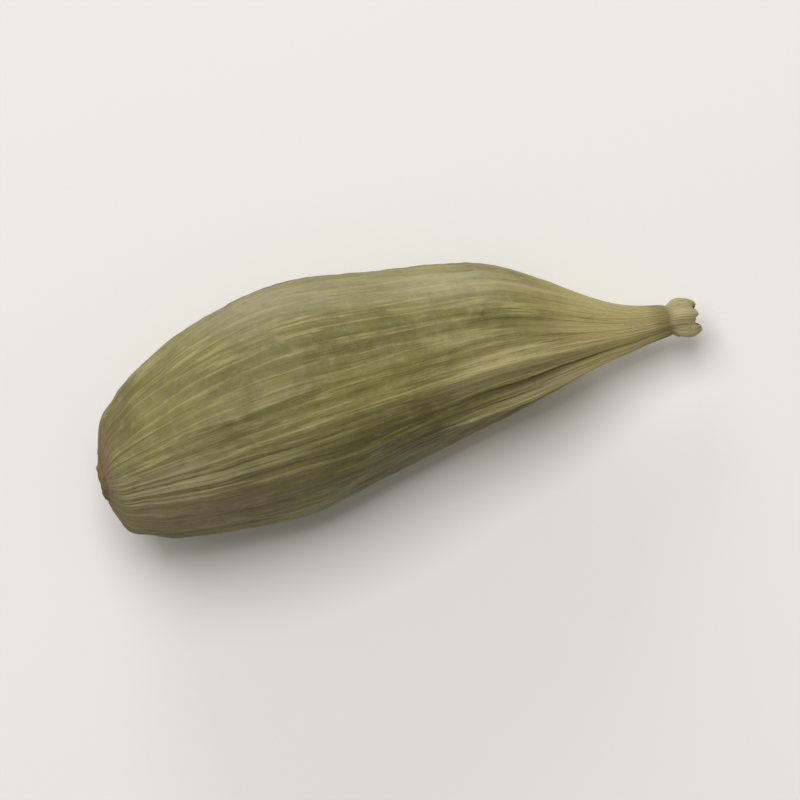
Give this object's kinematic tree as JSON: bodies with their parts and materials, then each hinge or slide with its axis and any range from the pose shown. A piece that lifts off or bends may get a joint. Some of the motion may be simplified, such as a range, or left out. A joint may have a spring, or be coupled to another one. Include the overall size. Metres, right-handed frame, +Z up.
{
  "type": "green cardamom pod",
  "caption": "Whole dried green cardamom pod, a bowed blunt-triangular husk with raised veins, pleats gathering into a slender beak with a hollow nub, lying on a flat spot.",
  "frame": {"origin": "bottom centre of the pod's box, on the surface that the pod rests on", "axes": "+X along the pod from the stalk scar to the beak, +Y towards the side that the pod bows to, +Z up from the flat spot"},
  "size_m": [0.016, 0.006, 0.0053],
  "materials": {
    "husk": "dry matte husk, grey-green to straw, slightly waxy on the veins"
  },
  "bodies": {
    "root": {"pod": "husk"}
  },
  "joints": []
}
